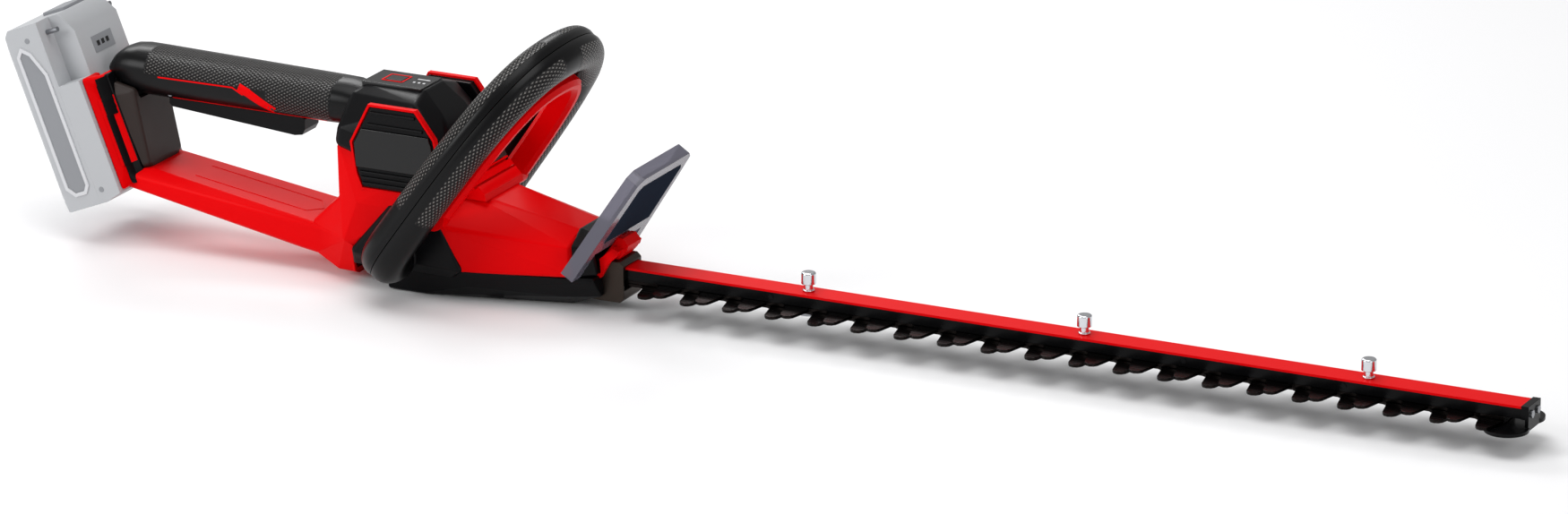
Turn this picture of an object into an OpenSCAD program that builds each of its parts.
// Cordless hedge trimmer with two sliding blades, a wrap-round front handle and a slide-on battery pack.
// +X runs from the motor to the blade tip, +Z is up, and the origin is on the flat underside below the motor shaft.

/* [Cutting bar] */
// Length of the bar from its root in the nose block to its end
bar_l = 569; // [540:1:600]
// Width of the bar
bar_w = 16; // [14:0.5:18]
// Height of the bar, with its painted cap
bar_h = 7.2; // [6:0.1:9]
// Thickness of the painted cap on the bar
cap_t = 1.4; // [1:0.1:2]
// Distance from tooth to tooth
tooth_pitch = 27; // [26:0.5:28]
// Number of teeth on each side of a blade
tooth_count = 20; // [16:1:20]
// How far the teeth reach from the middle of the blade
tooth_reach = 26; // [22:0.5:28]
// Width of a tooth at its root
tooth_root_w = 14.4; // [12:0.2:17]
// Width of a tooth at its tip
tooth_tip_w = 8.6; // [6:0.2:10]
// Thickness of one blade
blade_t = 1.75; // [1.5:0.05:1.75]
// Distance that each blade travels from end to end
stroke = 13.5; // [12:0.5:14]
// Distance between the studs that clamp the blades
stud_gap = 171.75; // [160:0.25:180]

/* [Front handle] */
// Angle of the handle's plane above the horizontal
loop_lean = 54.5; // [50:0.5:60]
// Width of the handle's tube, across the loop
loop_w = 24; // [20:0.5:26]
// Depth of the handle's tube, through the loop
loop_d = 27; // [22:0.5:28]

/* [Rear handle] */
// Width of the rear grip
grip_w = 35; // [32:1:38]
// Travel of the trigger, in degrees
trigger_travel = 5; // [3:0.5:5]

/* [Battery] */
// Lean of the battery from the vertical
dock_tilt = 22; // [18:1:24]
// Width of the battery pack
pack_w = 76; // [70:1:78]
// Depth of the battery pack, behind the dock
pack_t = 46; // [40:1:48]
// Depth of the rails that hold the battery
rail_t = 5; // [4:0.5:5]

/* [Drive] */
// Teeth on the motor's pinion
pinion_teeth = 10; // [10:1:10]
// Teeth on the drive gear
gear_teeth = 60; // [60:1:60]
// Gear module
gear_module = 1; // [1:0.1:1]
// Radius of the motor shaft
shaft_r = 2.5; // [2:0.1:3]
// Radial clearance of a running fit
fit_gap = 0.04; // [0.02:0.01:0.08]

/* [Hidden] */
$fn = 48;

RED = "#d8141c";
BLACK = "#1c1a1b";
BROWN = "#3a322e";
STEEL = "#3b3430";
CHROME = "#c9ccd0";
PACK = "#b9b8b8";

// heights of the cutting bar
bar_top = 26;
bar_x = 113;
bar_end = bar_x + bar_l;
blade_gap = 0.3;
upper_z = bar_top - bar_h - blade_gap - blade_t;
lower_z = upper_z - blade_gap - blade_t;
blade_hw = 8.6;
// the blades rest five millimetres either side of the middle of their stroke
rest_shift = 5;
travel = stroke / 2;
reach_on = travel - rest_shift;
reach_back = travel + rest_shift;
first_tooth = 151.5;
teeth_end = 672;
side_screws = [225, 481, 577];
stud_x = [for (i = [0:2]) 245 + i * stud_gap];
stud_r = 2.75;
head_r = 4.3;
slot_r = stud_r + 0.35;

// the drive
gear_x = gear_module * (gear_teeth + pinion_teeth) / 2;
gear_z = 22;
gear_h = 6;
eccentric_r = 8;
eccentric_angle = acos(rest_shift / travel);
gear_shaft_r = 4;
bush_r = 8;
yoke_hx = travel + eccentric_r + reach_back + 0.5;
yoke_hy = travel + eccentric_r + 0.6;
yoke_rim = 3.5;

// the front handle's plane: its foot, the way up the plane and its forward normal
loop_foot = [-2, 0, 20];
loop_up = [cos(loop_lean), 0, sin(loop_lean)];
loop_out = [sin(loop_lean), 0, -cos(loop_lean)];
// middle line of the tube on one side: distance from the middle plane, height up the handle's plane
LOOP_SIDE = [[44, 4], [50, 4], [60, 9], [65, 20], [65, 42], [63, 75], [58, 106], [48, 131], [29, 148.5], [0, 154]];

// the dock's frame: +Z along the rails, -X towards the battery
dock_at = [-199, 0, 70];

// corners of the body's skins: x, half-width and z of each rounded corner
MOTOR = [[-40, 28, 80], [-37.5, 31, 51], [-26, 34.5, 51], [20, 26, 8.4], [26, 34.5, 51], [26, 33, 80], [-37, 12, 88],
    [-34, 24, 8.4], [-34, 33, 28]];
GUSSET = [[-37.5, 31, 50], [-26, 34.5, 51], [-35, 34, 28], [-61, 20, 29], [-60, 20, 14], [-46, 22, 7.5], [10, 26, 7.5],
    [10, 30, 50]];
MOTOR_R = 4;
TOP = [[-31, 10, 111], [2, 10, 111], [13, 13, 101], [-36, 17, 107], [4, 22, 107], [-37, 31, 92], [24, 29, 82],
    [-38, 31, 86], [28, 31, 66], [31, 15, 66], [23, 15, 88]];
TOP_R = 5;
BAND = [[-32, 25, 6], [22, 26, 5], [38, 36, 20], [27, 37, 44], [24, 30, 58], [30, 12, 60], [-4, 37, 50], [-28, 36, 22]];
BAND_R = 3;
GEAR = [[29, 36.5, 44], [36, 36.5, 42], [35, 16, 58], [52, 13, 53.5], [88, 13, 46.5], [104, 11, 43.5], [103, 24.5, 38],
    [38, 34, 20], [104, 25, 24]];
GEAR_R = 3;
COVER = [[-8, 33, 16], [-8, 31, 2], [15, 31, 2], [42, 34, 17.5], [42, 32, 10], [42, 20, 2], [100, 20, 9], [98, 9, 2], [117, 21, 19],
    [118, 14, 10]];
COVER_R = 2;
FRONT = [[106, 23, 23], [106, 22, 38], [106, 11, 44.5], [114, 20, 38], [117, 18, 24], [115, 10, 42]];
FRONT_R = 2.5;
BEAM = [[-173, 18, 43], [-186, 25, 38], [-191, 25, 42], [-60, 21.5, 26], [-55, 21, 13], [-72, 20, 15]];
BEAM_R = 3;
GRIP = [[-192, 9, 112.5], [-203, 10, 104], [-192, 14, 100], [-188, 12, 89], [-45, 9, 109.5], [-42, 14.5, 99],
    [-45, 12.5, 89], [-200, 12, 92]];
GRIP_R = 3;
COLUMN = [[-199, 17, 92], [-188, 17, 90], [-188, 17, 76], [-179, 17, 49], [-179, 12, 46], [-188, 20, 44], [-203, 20, 86]];
COLUMN_R = 3;
wall = 2.6;

function flip(list) = [for (i = [len(list) - 1:-1:0]) list[i]];
function add(a, b) = [for (i = [0:2]) a[i] + b[i]];

// a smooth curve through hand-placed points, in steps of a quarter of each span
function curve_at(p, i, t) =
    let (a = p[max(i - 1, 0)], b = p[i], c = p[i + 1], d = p[min(i + 2, len(p) - 1)])
    0.5 * (2 * b + (c - a) * t + (2 * a - 5 * b + 4 * c - d) * t * t + (3 * b - a - 3 * c + d) * t * t * t);
function curve(p, steps) = [for (i = [0:len(p) - 2], k = [0:steps - 1]) curve_at(p, i, k / steps), p[len(p) - 1]];
loop_line = curve(concat([for (p = LOOP_SIDE) [-p[0], p[1]]],
    [for (i = [len(LOOP_SIDE) - 2:-1:0]) LOOP_SIDE[i]]), 3);

// direction along a flat line, and the normal towards the inside of the loop
function along(line, i) =
    let (d = line[min(i + 1, len(line) - 1)] - line[max(i - 1, 0)]) d / norm(d);
function inward(line, i) = let (d = along(line, i)) [d[1], -d[0]];
function place(flat, out) = loop_foot + flat[1] * loop_up + out * loop_out + [0, flat[0], 0];

// a tube swept along a flat line in the handle's plane, with its section in (inward, out) pairs
module sweep(line, section) {
    n = len(section);
    m = len(line);
    points = [for (i = [0:m - 1], s = section) place(line[i] + s[0] * inward(line, i), s[1])];
    sides = [for (i = [0:m - 2], k = [0:n - 1])
        let (a = i * n + k, b = i * n + (k + 1) % n) each [[a, b, b + n], [a, b + n, a + n]]];
    ends = [flip([for (k = [0:n - 1]) k]), [for (k = [0:n - 1]) (m - 1) * n + k]];
    polyhedron(points = points, faces = [for (f = concat(sides, ends)) flip(f)]);
}

// a convex skin over mirrored rounded corners
module skin(corners, r) {
    hull() {
        for (c = corners, s = [-1, 1]) {
            translate([c[0], s * c[1], c[2]]) sphere(r = r, $fn = 20);
        }
    }
}

// keeps the part of the children on one side of the middle plane
module half(side) {
    intersection() {
        children();
        translate([-400, side < 0 ? -150 : 0, -20]) cube([700, 150, 220]);
    }
}

module box(low, high) {
    translate(low) cube(high - low);
}

module tube(outer, inner, z, h) {
    translate([0, 0, z]) {
        difference() {
            cylinder(r = outer, h = h);
            translate([0, 0, -1]) cylinder(r = inner, h = h + 2);
        }
    }
}

module cylinder_at(r, z, h) {
    translate([0, 0, z]) cylinder(r = r, h = h);
}

module dock() {
    translate(dock_at) rotate([0, -dock_tilt, 0]) children();
}

// rooms inside the body: motor, gears, yokes, blades and wiring
module rooms() {
    translate([0, 0, 34]) cylinder(r = 29, h = 74);
    translate([0, 0, 18]) cylinder(r = 9, h = 20);
    translate([gear_x, 0, gear_z - 2]) cylinder(r = 33, h = 10);
    box([gear_x - yoke_hx - 17, -20.5, 12.5], [gear_x + yoke_hx + 17, 20.5, 20.5]);
    box([60, -10, 12.5], [140, 10, 19]);
    translate([gear_x, 0, 6]) cylinder(r = bush_r, h = 40);
}

// the room that the battery's tongue and rails sweep through as the pack slides off
module pack_room() {
    dock() {
        box([-80, -60, -60], [0, 60, 160]);
        box([-1, -24.4, -32.4], [rail_t + 0.5, 24.4, 120]);
    }
}

module shell_half(side) {
    half(side) {
        difference() {
            union() {
                skin(MOTOR, MOTOR_R);
                skin(GUSSET, MOTOR_R);
                skin(BEAM, BEAM_R);
            }
            skin(MOTOR, MOTOR_R - wall);
            skin(GUSSET, MOTOR_R - wall);
            skin(BEAM, BEAM_R - wall);
            skin(TOP, TOP_R);
            skin(BAND, BAND_R);
            skin(COLUMN, COLUMN_R);
            rooms();
            collar_room();
            box([-10, -60, -10], [70, 60, 40]);
            box([20, -60, 60], [70, 60, 90]);
            vent_cut();
            screw_bores();
        }
    }
}

module housing_right() {
    color(RED) shell_half(-1);
}

module housing_left() {
    color(RED) shell_half(1);
}

// the six-sided windows that the vent panels fill
VENT = [[-30, 88], [-18, 110.5], [12, 110.5], [24, 95], [29.5, 66], [24, 60.5], [-23, 60.5], [-27, 70]];
module vent_outline() {
    polygon(VENT);
}

module vent_cut() {
    for (s = [-1, 1]) {
        translate([0, s < 0 ? -28 : 60, 0]) rotate([90, 0, 0]) linear_extrude(32) vent_outline();
    }
}

module motor_cover() {
    color(BLACK) difference() {
        skin(TOP, TOP_R);
        skin(TOP, TOP_R - wall);
        skin(BAND, BAND_R);
        skin(GRIP, GRIP_R);
        vent_cut();
        box([-36, -13.2, 113.2], [3, 13.2, 122]);
        box([-26, -5, 108], [-14, 5, 122]);
        box([-60, -60, 50], [60, 60, 63]);
        box([-25, -60, 50], [60, 60, 70]);
        cylinder_at(26.2, 60, 26);
        front_cut();
    }
}

module gear_housing() {
    color(RED) difference() {
        skin(GEAR, GEAR_R);
        difference() {
            skin(GEAR, GEAR_R - wall);
            translate([gear_x, 0, 30]) cylinder(r = 13, h = 14);
        }
        skin(COVER, COVER_R);
        skin(FRONT, FRONT_R);
        rooms();
        front_cut();
    }
}

module gear_cover() {
    color(BLACK) difference() {
        union() {
            skin(COVER, COVER_R);
            // two inset frames on each flank
            for (s = [-1, 1]) {
                box([44, s * 24 - 3, 3], [62, s * 24 + 3, 8]);
            }
        }
        rooms();
        box([66, -16, 4], [100, 16, 12]);
        box([-12, -60, 12.5], [4, 60, 30]);
        skin(FRONT, FRONT_R);
        box([108, -12, 4], [140, 12, 40]);
        cover_screw_set(0);
    }
}

module body_band() {
    color(BLACK) difference() {
        union() {
            skin(BAND, BAND_R);
            for (s = [-1, 1]) {
                translate(place([s * 34, LOOP_SIDE[0][1]], 0)) rotate([s < 0 ? 90 : -90, 0, 0]) cylinder(r = 12.5, h = 8.7);
            }
        }
        skin(BAND, BAND_R - wall);
        skin(COVER, COVER_R);
        skin(GEAR, GEAR_R);
        rooms();
        box([-60, -60, -10], [4, 60, 12.5]);
        box([-25.3, -30.3, 19.7], [-13.7, -21.7, 30.3]);
        front_cut();
        loop_bores();
    }
}

module front_cut() {
    box([24, -23, 58], [60, 23, 70]);
    box([26.4, -23, 69], [60, 23, 96]);
}

// sloping panel on the front of the motor cover
module front_panel() {
    color(BROWN) difference() {
        translate([0, 22.8, 0]) rotate([90, 0, 0]) linear_extrude(45.6) {
            polygon([[26.4, 70.2], [26.4, 95.8], [30, 93], [36, 78], [39.5, 72.4], [36, 70.2]]);
        }
        skin(TOP, TOP_R - wall);
    }
}

// ribbed block between the motor cover and the gear housing
module louvre_block() {
    rib = 4;
    color(RED) difference() {
        union() {
            translate([0, 22.8, 0]) rotate([90, 0, 0]) linear_extrude(45.6) {
                polygon([[24.2, 60], [24.2, 70], [36, 70], [39.5, 72], [49, 62], [50, 58.2], [28, 58.2]]);
            }
        }
        for (i = [0:2]) {
            translate([34 + i * rib, -30, 73 - i * rib * 0.95]) rotate([0, 45, 0]) cube([1.4, 60, 8]);
        }
        skin(GEAR, GEAR_R);
        cylinder_at(26, 50, 40);
    }
}

module front_cap() {
    color(BLACK) difference() {
        skin(FRONT, FRONT_R);
        box([104, -18, 18], [120, 18, 38]);
        box([100, -11.6, 10], [140, 11.6, 30.2]);
        box([100, -13, 18], [140, 13, 26]);
    }
}

module grip_half(side) {
    half(side) {
        difference() {
            skin(GRIP, GRIP_R);
            skin(GRIP, GRIP_R - wall - 0.2);
            trigger_room();
            pack_room();
            dock() box([0, -15.8, -20], [12.3, 15.8, 23.3]);
            translate([-164, -20, 92]) rotate([-90, 0, 0]) cylinder(r = 2, h = 40);
        }
    }
}

module trigger_room() {
    box([-172, -9, 80], [-62, 9, 97]);
}

module grip_right() {
    color(BLACK) grip_half(-1);
}

module grip_left() {
    color(BLACK) grip_half(1);
}

module rear_column() {
    color(BROWN) difference() {
        skin(COLUMN, COLUMN_R);
        skin(COLUMN, COLUMN_R - wall);
        skin(GRIP, GRIP_R);
        trigger_room();
        collar_room();
    }
}

// red frame that carries the battery's rails, with a back wall that shows above them
rim_t = 4;
collar_t = 9;
module battery_dock() {
    color(RED) difference() {
        union() {
            dock() intersection() {
                collar(0);
                dock_frame();
            }
            stripe();
        }
        skin(GRIP, GRIP_R);
        rail_pocket();
    }
}

module dock_frame() {
    box([0, -40, -50], [rim_t, 40, 50]);
    box([0, -40, 25], [rail_t + 2.5, 40, 50]);
}

// tapered solid from the battery's rim to the column
module collar(grow) {
    hull() {
        for (k = [[0, 33, -35, 30], [collar_t, 19, -31, 27]], s = [-1, 1], z = [k[2], k[3]]) {
            translate([k[0] + 0.001, s * (k[1] + grow), z]) rotate([0, 90, 0]) cylinder(r = 2, h = 0.4, $fn = 12);
        }
    }
}

// raised stripe on each side of the collar
module stripe() {
    dock() difference() {
        intersection() {
            collar(0.8);
            for (s = [-1, 1]) {
                box([rim_t - 1, s * 26 - 9, -24], [collar_t - 0.4, s * 26 + 9, 17]);
            }
        }
        collar(-1);
    }
}

module collar_room() {
    dock() {
        box([-90, -70, -70], [0.001, 70, 120]);
        collar(0.8);
        box([-2, -22, -30], [collar_t, 22, 40]);
    }
}

// T-shaped groove for the battery's tongue, and the room for the contacts
module rail_pocket() {
    dock() {
        box([-1, -19.4, -32.4], [rail_t, 19.4, 120]);
        box([rail_t - 2.4, -24.4, -32.4], [rail_t + 0.5, 24.4, 120]);
        box([-1, -16, -20], [30, 16, 24]);
    }
}

// black collar between the rim and the column
module dock_collar() {
    color(BLACK) difference() {
        dock() intersection() {
            collar(0);
            box([rim_t, -40, -50], [collar_t, 40, 50]);
        }
        dock() dock_frame();
        stripe();
        skin(GRIP, GRIP_R);
        rail_pocket();
    }
}

// contacts in the middle of the dock
module terminal_block() {
    color(BROWN) dock() {
        box([rail_t + 1, -15.5, -19], [12, 15.5, 23]);
        for (y = [-10.5, -3.5, 3.5, 10.5]) {
            box([rail_t + 0.6, y - 1, -10], [rail_t + 1, y + 1, 14]);
        }
    }
}

module vent_panel(side) {
    difference() {
        translate([0, side < 0 ? -30 : 38.8, 0]) rotate([90, 0, 0]) linear_extrude(8.8) {
            offset(delta = -0.25) vent_outline();
        }
        // louvres above and below a plain middle plate
        for (z = [64.5, 68.5, 97.5, 101.5, 105.5]) {
            translate([0, side * 38.8, z]) rotate([side * 30, 0, 0]) cube([36 - abs(z - 85) / 4, 6, 1.7], center = true);
        }
        translate([0, 0, 34]) cylinder(r = 29, h = 74);
    }
}

module vent_panel_right() {
    color(BLACK) vent_panel(-1);
}

module vent_panel_left() {
    color(BLACK) vent_panel(1);
}

module display_panel() {
    color(BLACK) difference() {
        box([-36, -13, 113.2], [3, 13, 116.6]);
        box([-25.9, -4.9, 112], [-14.1, 4.9, 122]);
    }
}

module mode_button() {
    color(RED) union() {
        box([-25.4, -4.4, 112.4], [-14.6, 4.4, 117]);
    }
}

module nose_block() {
    color(BROWN) difference() {
        translate([0, 11.5, 0]) rotate([90, 0, 0]) linear_extrude(23) {
            polygon([[108, 7], [108, 30], [130, 30], [132.5, 27.5], [132.5, 7.5], [130, 5], [110, 5]]);
        }
        box([bar_x, -bar_w / 2, bar_top - bar_h], [140, bar_w / 2, bar_top + 0.2]);
        box([100, -10, 12.5], [140, 10, bar_top - bar_h]);
    }
}

module blade_bar() {
    color(BLACK) difference() {
        box([bar_x, -bar_w / 2, bar_top - bar_h], [bar_end, bar_w / 2, bar_top - cap_t]);
        for (x = stud_x) {
            translate([x, 0, 0]) cylinder(r = stud_r, h = 40);
        }
        for (x = side_screws) {
            translate([x, -bar_w / 2 - 1, 22]) rotate([-90, 0, 0]) cylinder(r = 1.5, h = bar_w / 2 + 0.6);
        }
        for (y = [-4.5, 4.5]) {
            translate([bar_end - 8, y, 21.5]) rotate([0, 90, 0]) cylinder(r = 1.25, h = 20);
        }
    }
}

module bar_cap() {
    color(RED) difference() {
        box([bar_x, -bar_w / 2, bar_top - cap_t], [bar_end, bar_w / 2, bar_top]);
        for (x = stud_x) {
            translate([x, 0, 0]) cylinder(r = stud_r, h = 40);
        }
    }
}

// shoulder studs: they clamp the blades and their heads stand above the bar for a clip-on collector
module blade_studs() {
    color(CHROME) for (x = stud_x) {
        translate([x, 0, lower_z - 1.8]) cylinder(r = stud_r, h = 18);
        translate([x, 0, bar_top]) cylinder(r = 3.4, h = 1.2);
        translate([x, 0, bar_top + 4.6]) cylinder(r = head_r, h = 6.2);
        translate([x, 0, bar_top + 10.8]) cylinder(r1 = head_r, r2 = head_r - 0.7, h = 0.7);
    }
}

module blade_keepers() {
    color(STEEL) for (x = stud_x) {
        translate([x, 0, 0]) tube(6.5, stud_r, lower_z - 1.8, 1.5);
    }
}

module bar_screws() {
    color(STEEL) for (x = side_screws) {
        translate([x, -bar_w / 2 - 0.4, 22]) rotate([-90, 0, 0]) cylinder(r = 1.5, h = bar_w / 2);
    }
}

// rounded shoe that guards the tip, on an upright plate across the bar's end
module tip_guard() {
    shoe_t = 2;
    color(BLACK) difference() {
        union() {
            translate([0, 0, lower_z - 0.4 - shoe_t]) linear_extrude(shoe_t) {
                for (s = [-1, 1]) {
                    translate([675, s * 12]) circle(r = 12.5);
                }
                translate([665, -12]) square([20.5, 24]);
            }
            box([bar_end, -9, lower_z - 0.4 - shoe_t], [bar_end + 4.5, 9, bar_top + 0.6]);
        }
        // room for the blades' ends
        box([bar_end - 20, -10, lower_z - 0.4], [bar_end + 2.4, 10, bar_top - bar_h]);
        for (y = [-4.5, 4.5]) {
            translate([bar_end - 8, y, 21.5]) rotate([0, 90, 0]) cylinder(r = 1.25, h = 20);
        }
    }
}

module tip_screws() {
    color(CHROME) for (y = [-4.5, 4.5]) {
        translate([bar_end - 6, y, 21.5]) rotate([0, 90, 0]) cylinder(r = 1.2, h = 10.5);
        translate([bar_end + 4.5, y, 21.5]) rotate([0, 90, 0]) cylinder(r = 2.2, h = 1);
    }
}

// half of the handle's rounded section, on the side that out points to
function half_section(out) =
    [for (k = [0:6]) let (a = k * 30) [cos(a) * loop_w / 2, out * pow(sin(a), 0.8) * loop_d / 2]];

module loop_rear_shell() {
    color(BLACK) difference() {
        sweep(loop_line, half_section(-1));
        loop_pockets();
    }
}

module loop_front_shell() {
    color(BLACK) difference() {
        sweep(loop_line, flip(half_section(1)));
        loop_pockets();
    }
}

// square pockets for the screws and the lever's pins
module loop_pockets() {
    for (s = [-1, 1]) {
        translate(place([s * 50, LOOP_SIDE[0][1]], 0)) rotate([0, -loop_lean, 0]) cube([4.2, 14, 4.2], center = true);
        translate(place([s * 55, lever_foot], lever_out)) rotate([0, -loop_lean, 0]) cube([4.2, 8, 4.2], center = true);
    }
}

module loop_bores() {
    for (s = [-1, 1]) {
        translate(place([s * 30, LOOP_SIDE[0][1]], 0)) rotate([s < 0 ? 90 : -90, 0, 0]) cylinder(r = 2.1, h = 20);
    }
}

module loop_screws() {
    color(STEEL) for (s = [-1, 1]) {
        translate(place([s * 37, LOOP_SIDE[0][1]], 0)) rotate([s < 0 ? 90 : -90, 0, 0]) cylinder(r = 2, h = 18);
    }
}

// the switch lever inside the loop follows the loop's own line, moved inwards
lever_t = 8;
lever_d = 15;
lever_inset = loop_w / 2 + 1.2 + lever_t / 2;
lever_out = 7;
lever_foot = 46;
lever_all = [for (i = [0:len(loop_line) - 1]) loop_line[i] + lever_inset * inward(loop_line, i)];
lever_line = [for (i = [0:len(loop_line) - 1]) if (loop_line[i][1] > lever_foot) lever_all[i]];
pivot_y = 43;

module lever_bores(r) {
    translate(place([0, lever_foot], lever_out)) rotate([90, 0, 0]) cylinder(r = r, h = 116, center = true);
}

module front_lever() {
    c = 2.5;
    a = lever_t / 2;
    b = lever_d / 2;
    color(RED) difference() {
        union() {
            sweep(lever_line, [for (p = [[a, -b + c], [a - c, -b], [-a + c, -b], [-a, -b + c],
                [-a, b - c], [-a + c, b], [a - c, b], [a, b - c]]) [p[0], p[1] + lever_out]]);
            for (s = [-1, 1]) {
                translate(place([s * (65 - lever_inset), lever_foot], lever_out)) rotate([90, 0, 0]) {
                    cylinder(r = b, h = lever_t, center = true);
                }
            }
        }
        lever_bores(2 + fit_gap);
    }
}

module lever_pins() {
    color(STEEL) for (s = [-1, 1]) {
        translate(place([s * 51, lever_foot], lever_out)) rotate([90, 0, 0]) cylinder(r = 2, h = 12, center = true);
    }
}

// the clear hand guard: a tray that leans forward over the nose
guard_foot = [120, 0, 26];
guard_lean = atan2(0.839, 0.545);
guard_l = 72;
GUARD = [[-6, -38.5], [48, -35], [67, -33], [71, -28], [71, 28], [67, 33], [48, 35], [-6, 38.5]];
guard_back = 4;
module guard_frame() {
    translate(guard_foot) rotate([0, 90 - guard_lean, 0]) rotate([0, -90, 0]) children();
}

module hand_guard() {
    depth = 8.5;
    skin_t = 2.4;
    color("#6f6f7acc") difference() {
        guard_frame() {
            difference() {
                translate([0, 0, guard_back]) linear_extrude(depth) polygon(GUARD);
                translate([0, 0, guard_back + skin_t]) linear_extrude(depth) offset(delta = -skin_t) polygon(GUARD);
                translate([-20, -36, guard_back + skin_t]) cube([20, 72, 40]);
                translate([-30, -28.6, -5]) cube([42, 57.2, 40]);
            }
        }
    }
}

// red saddle over the nose: two cheeks hug the nose block and a tongue carries the guard
saddle_hw = 14.5;
tongue_hw = 8;
SADDLE = [[106, 17], [115.5, 17], [119.6, 20], [125, 29.5], [130, 34], [131, 37], [127, 38.5], [121, 33], [106, 20]];
TONGUE = [[118, 30], [128, 30.2], [133, 36], [134, 39], [130.5, 43], [127.5, 43], [118, 31]];
module guard_bracket() {
    color(RED) difference() {
        union() {
            translate([0, saddle_hw, 0]) rotate([90, 0, 0]) linear_extrude(2 * saddle_hw) polygon(SADDLE);
            translate([0, tongue_hw, 0]) rotate([90, 0, 0]) linear_extrude(2 * tongue_hw) polygon(TONGUE);
            // clips that reach back to the guard's plate
            for (s = [-1, 1]) {
                guard_frame() translate([12, s * 4.5 - 3, -2]) cube([6, 6, guard_back + 2]);
            }
        }
        skin(FRONT, FRONT_R);
        skin(COVER, COVER_R);
        box([100, -11.6, 0], [133, 11.6, 30.2]);
        box([132, -11.6, 0], [150, 11.6, 36]);
    }
}

module stator() {
    color(STEEL) difference() {
        union() {
            tube(25.5, 15.3, 60, 25);
        }
        for (a = [0:60:300]) {
            rotate([0, 0, a]) translate([19.5, 0, 50]) cylinder(r = 2.6, h = 60);
        }
    }
}

// carrier that holds the stator and both motor bearings
module motor_frame() {
    color(BLACK) {
        tube(24, 8, 85, 3);
        tube(10.5, 8, 87.9, 7);
        tube(26.8, 8.9, 34.5, 5);
        for (a = [45:90:315]) {
            rotate([0, 0, a]) translate([22.9, 0, 39.4]) cylinder(r = 2.4, h = 20.6);
        }
    }
}

module upper_bearing() {
    color(CHROME) tube(8, shaft_r + fit_gap, 89.9, 5);
}

module lower_bearing() {
    color(CHROME) tube(8.9, shaft_r + fit_gap, 34.5, 5);
}

module gear_bush_upper() {
    color(CHROME) translate([gear_x, 0, 0]) tube(bush_r, gear_shaft_r + fit_gap, 31, 8);
}

module gear_bush_lower() {
    color(CHROME) translate([gear_x, 0, 0]) tube(bush_r, gear_shaft_r + fit_gap, 6, 5.5);
}

module control_board() {
    color("#1f5a35") union() {
        box([-150, -6, 104], [-60, 6, 105.6]);
        for (x = [-140:20:-80]) {
            box([x, -4, 105.6], [x + 9, 4, 108.4]);
        }
    }
}

module trigger_switch() {
    color(BROWN) box([-104, -6, 97.2], [-78, 6, 103.6]);
}

module lever_switch() {
    color(BROWN) box([-25, -30, 20], [-14, -22, 30]);
}

module trigger_pin() {
    color(STEEL) translate([-164, -14, 92]) rotate([-90, 0, 0]) cylinder(r = 2, h = 28);
}

// a coil spring between the grip and the trigger, as a stack of rings on a post
module trigger_spring() {
    color(CHROME) translate([-128, 0, 0]) {
        for (z = [88:2.4:102]) {
            translate([0, 0, z]) rotate_extrude() translate([4, 0]) circle(r = 0.6, $fn = 16);
        }
        cylinder_at(4.7, 86.6, 0.9);
        cylinder_at(1.8, 93, 10);
        cylinder_at(4.8, 102, 1.6);
    }
}

// place of each housing screw and how far it reaches into the left half
SCREWS = [[-56, 20, 23], [-36, 40, 34], [-120, 31, 20]];
module screw_bores() {
    for (p = SCREWS) {
        translate([p[0], -15, p[1]]) rotate([-90, 0, 0]) cylinder(r = 1.7, h = 75);
    }
}

module housing_screws() {
    color(STEEL) for (p = SCREWS) {
        translate([p[0], -12, p[1]]) rotate([-90, 0, 0]) cylinder(r = 1.6, h = 12 + p[2]);
    }
}

module cover_screw_set(extra) {
    for (x = [84, 98], s = [-1, 1]) {
        translate([x, s * 12, 12 - extra]) cylinder(r = 1.6, h = 8 + extra);
    }
}

module cover_screws() {
    color(STEEL) cover_screw_set(0);
}

// outline of an involute spur gear, as radius and angle turned into points
function flank(rb, r) = let (t = sqrt(max(pow(r / rb, 2) - 1, 0))) t * 180 / PI - atan(t);
function gear_points(z, addendum, root) =
    let (rp = gear_module * z / 2, rb = rp * cos(20), lo = max(rb, root), hi = rp + addendum,
        foot = 90 / z * 0.93 + flank(rb, rp))
    [for (i = [0:z - 1]) let (c = i * 360 / z) each [
        for (p = concat([[root, -foot - 0.3]],
            [for (k = [0:4]) let (r = lo + (hi - lo) * k / 4) [r, flank(rb, r) - foot]],
            [for (k = [4:-1:0]) let (r = lo + (hi - lo) * k / 4) [r, foot - flank(rb, r)]],
            [[root, foot + 0.3]]))
            p[0] * [cos(c + p[1]), sin(c + p[1])]]];

module drive_gear() {
    color(STEEL) translate([gear_x, 0, 0]) {
        translate([0, 0, gear_z]) linear_extrude(gear_h) polygon(gear_points(gear_teeth, 0.6, 28.65));
        cylinder_at(gear_shaft_r, 6.2, 33);
        for (k = [[1, upper_z, gear_z - upper_z], [-1, lower_z, blade_t]]) {
            rotate([0, 0, eccentric_angle]) translate([k[0] * travel, 0, k[1]]) cylinder(r = eccentric_r, h = k[2]);
        }
        cylinder_at(5.5, lower_z + blade_t - 0.1, blade_gap + 0.3);
    }
}

module rotor() {
    color(CHROME) union() {
        cylinder_at(shaft_r, 20, 76);
        cylinder_at(14.6, 61, 23);
        cylinder_at(7, 58, 26);
    }
}

module fan() {
    color(BLACK) union() {
        difference() {
            union() {
                cylinder_at(19.5, 44, 1.5);
                cylinder_at(7, 44, 10);
            }
            cylinder_at(shaft_r, 40, 20);
        }
        for (a = [0:30:330]) {
            rotate([0, 0, a]) translate([6, -0.6, 45.4]) cube([13, 1.2, 8]);
        }
    }
}

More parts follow.
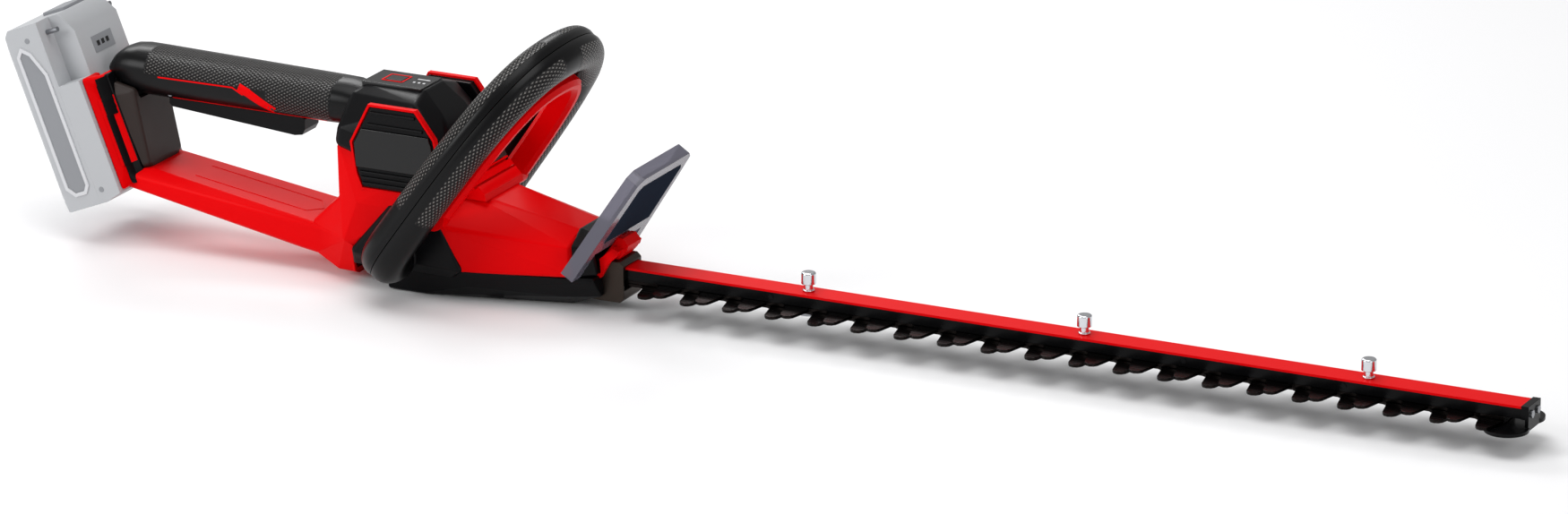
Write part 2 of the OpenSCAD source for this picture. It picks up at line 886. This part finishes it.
module pinion() {
    color(STEEL) difference() {
        rotate([0, 0, 180 / pinion_teeth]) translate([0, 0, 21]) {
            linear_extrude(9) polygon(gear_points(pinion_teeth, 0.85, 3.7));
        }
        cylinder_at(shaft_r, 10, 30);
    }
}

// one side of a blade's edge: a tooth with a rounded tip at each pitch
function tooth(cx, reach) =
    let (r = tooth_root_w / 2, t = tooth_tip_w / 2)
    concat([[cx - r - 3, blade_hw - 1.2], [cx - r, blade_hw + 0.6]],
        [for (a = [160:-35:20]) [cx + t * cos(a), reach - t + t * sin(a)]],
        [[cx + r, blade_hw + 0.6], [cx + r + 3, blade_hw - 1.2]]);
function edge(shift, count) = [for (i = [0:count - 1])
    let (last = i > count - 3) each tooth(first_tooth + i * tooth_pitch + shift, tooth_reach - (last ? 1.5 : 0))];

module blade(z, shift, count) {
    side = [for (p = edge(shift, count)) if (p[0] < teeth_end) p];
    tail = gear_x + yoke_hx + 1;
    difference() {
        union() {
            translate([0, 0, z]) linear_extrude(blade_t) {
                polygon(concat([[tail, blade_hw]], side, [[teeth_end, blade_hw], [teeth_end, -blade_hw]],
                    flip([for (p = side) [p[0], -p[1]]]), [[tail, -blade_hw]]));
            }
            translate([gear_x - yoke_hx - yoke_rim, -yoke_hy - yoke_rim, z]) {
                cube([2 * (yoke_hx + yoke_rim), 2 * (yoke_hy + yoke_rim), blade_t]);
            }
        }
        box([gear_x - yoke_hx, -yoke_hy, z - 1], [gear_x + yoke_hx, yoke_hy, z + 5]);
        for (x = stud_x) {
            reach = reach_back + 0.4;
            box([x - reach, -slot_r, z - 1], [x + reach, slot_r, z + 5]);
            for (s = [-1, 1]) {
                translate([x + s * reach, 0, z - 1]) cylinder(r = slot_r, h = 6);
            }
        }
    }
}

module upper_blade() {
    color(STEEL) blade(upper_z, 2 * rest_shift, tooth_count - 1);
}

module lower_blade() {
    color(STEEL) blade(lower_z, 0, tooth_count);
}

module trigger() {
    color(BLACK) difference() {
        union() {
            translate([0, 8, 0]) rotate([90, 0, 0]) linear_extrude(16) {
                polygon([[-168, 84], [-166, 82], [-84, 75.6], [-79, 76.5], [-77, 80], [-77, 86], [-82, 88.4],
                    [-158, 90], [-160, 96], [-167, 96]]);
            }
        }
        translate([-164, -20, 92]) rotate([-90, 0, 0]) cylinder(r = 2 + fit_gap, h = 40);
        box([-134, -5.6, 86.5], [-122, 5.6, 100]);
    }
}

PACK_SIDE = [[-pack_t, -36], [-pack_t, 60], [-36, 72], [-8, 72], [-0.4, 60], [-0.4, -38], [-11, -41], [-38, -41]];
pack_neck = 24;
// pack case: the side that carries the rails
module pack_case() {
    split = -16;
    color(PACK) dock() {
        difference() {
            union() {
                pack_block(pack_w / 2, split, -0.4);
                box([-0.6, -19, -32], [rail_t, 19, 27]);
                for (s = [-1, 1]) {
                    box([rail_t - 2, s * 21.5 - 2.5, -32], [rail_t, s * 21.5 + 2.5, 27]);
                }
            }
            box([split - 1, -34, -34], [-4, 34, 28]);
            box([split - 1, -21, -34], [-4, 21, 56]);
            box([-3, -16.5, -18], [rail_t + 1, 16.5, 21]);
            box([-26, -13, 58], [-9.6, 13, 80]);
            for (y = [-30, 30], z = [-34, 64]) {
                translate([-20, y, z]) rotate([0, 90, 0]) cylinder(r = 1.5, h = 14);
            }
        }
    }
}

module pack_block(hw, from, to) {
    intersection() {
        translate([0, hw, 0]) rotate([90, 0, 0]) linear_extrude(2 * hw) polygon(PACK_SIDE);
        union() {
            box([from, -60, -60], [to, 60, 32]);
            box([from, -60, -60], [min(to, -15), 60, 100]);
            box([from, -pack_neck, -60], [to, pack_neck, 100]);
        }
        // chamfers down the back corners
        linear_extrude(220, center = true) {
            polygon([[-pack_t, -hw + 9], [-pack_t + 7, -hw], [20, -hw], [20, hw], [-pack_t + 7, hw], [-pack_t, hw - 9]]);
        }
    }
}

module pack_cover() {
    split = -16;
    color(PACK) dock() {
        difference() {
            pack_block(pack_w / 2, -60, split);
            box([-pack_t + 3, -34, -34], [0, 34, 58]);
            box([-26, -13, 58], [-9.6, 13, 80]);
            box([-pack_t - 1, -5.2, 61], [-pack_t + 14, 5.2, 66]);
            for (y = [-30, 30], z = [-34, 64]) {
                translate([-50, y, z]) rotate([0, 90, 0]) cylinder(r = 1.5, h = 50);
            }
        }
    }
}

module pack_cells() {
    color("#3f7f6f") dock() {
        for (k = [-2:2]) {
            translate([-31, -33, 12 + k * 18.3]) rotate([-90, 0, 0]) cylinder(r = 9.1, h = 66);
        }
    }
}

module pack_screws() {
    color(STEEL) dock() {
        for (y = [-30, 30], z = [-34, 64]) {
            translate([-21, y, z]) rotate([0, 90, 0]) cylinder(r = 1.5, h = 14);
        }
    }
}

module pack_latch() {
    color(BROWN) dock() {
        box([-25.6, -12.6, 62], [-10, 12.6, 74]);
    }
}

module gauge_button() {
    color(BROWN) dock() {
        box([-pack_t + 2.2, -4.8, 61.4], [-pack_t + 13, 4.8, 65.6]);
    }
}

housing_right();
housing_left();
motor_cover();
gear_housing();
gear_cover();
body_band();
grip_right();
grip_left();
rear_column();
battery_dock();
dock_collar();
terminal_block();
vent_panel_right();
vent_panel_left();
display_panel();
front_panel();
louvre_block();
front_cap();
nose_block();
blade_bar();
bar_cap();
blade_studs();
blade_keepers();
bar_screws();
tip_guard();
tip_screws();
loop_rear_shell();
loop_front_shell();
loop_screws();
hand_guard();
guard_bracket();
motor_frame();
stator();
upper_bearing();
lower_bearing();
gear_bush_upper();
gear_bush_lower();
control_board();
trigger_switch();
lever_switch();
trigger_pin();
lever_pins();
trigger_spring();
housing_screws();
cover_screws();
rotor();
fan();
pinion();
drive_gear();
upper_blade();
lower_blade();
trigger();
front_lever();
pack_case();
pack_cover();
pack_cells();
pack_screws();
pack_latch();
gauge_button();
mode_button();
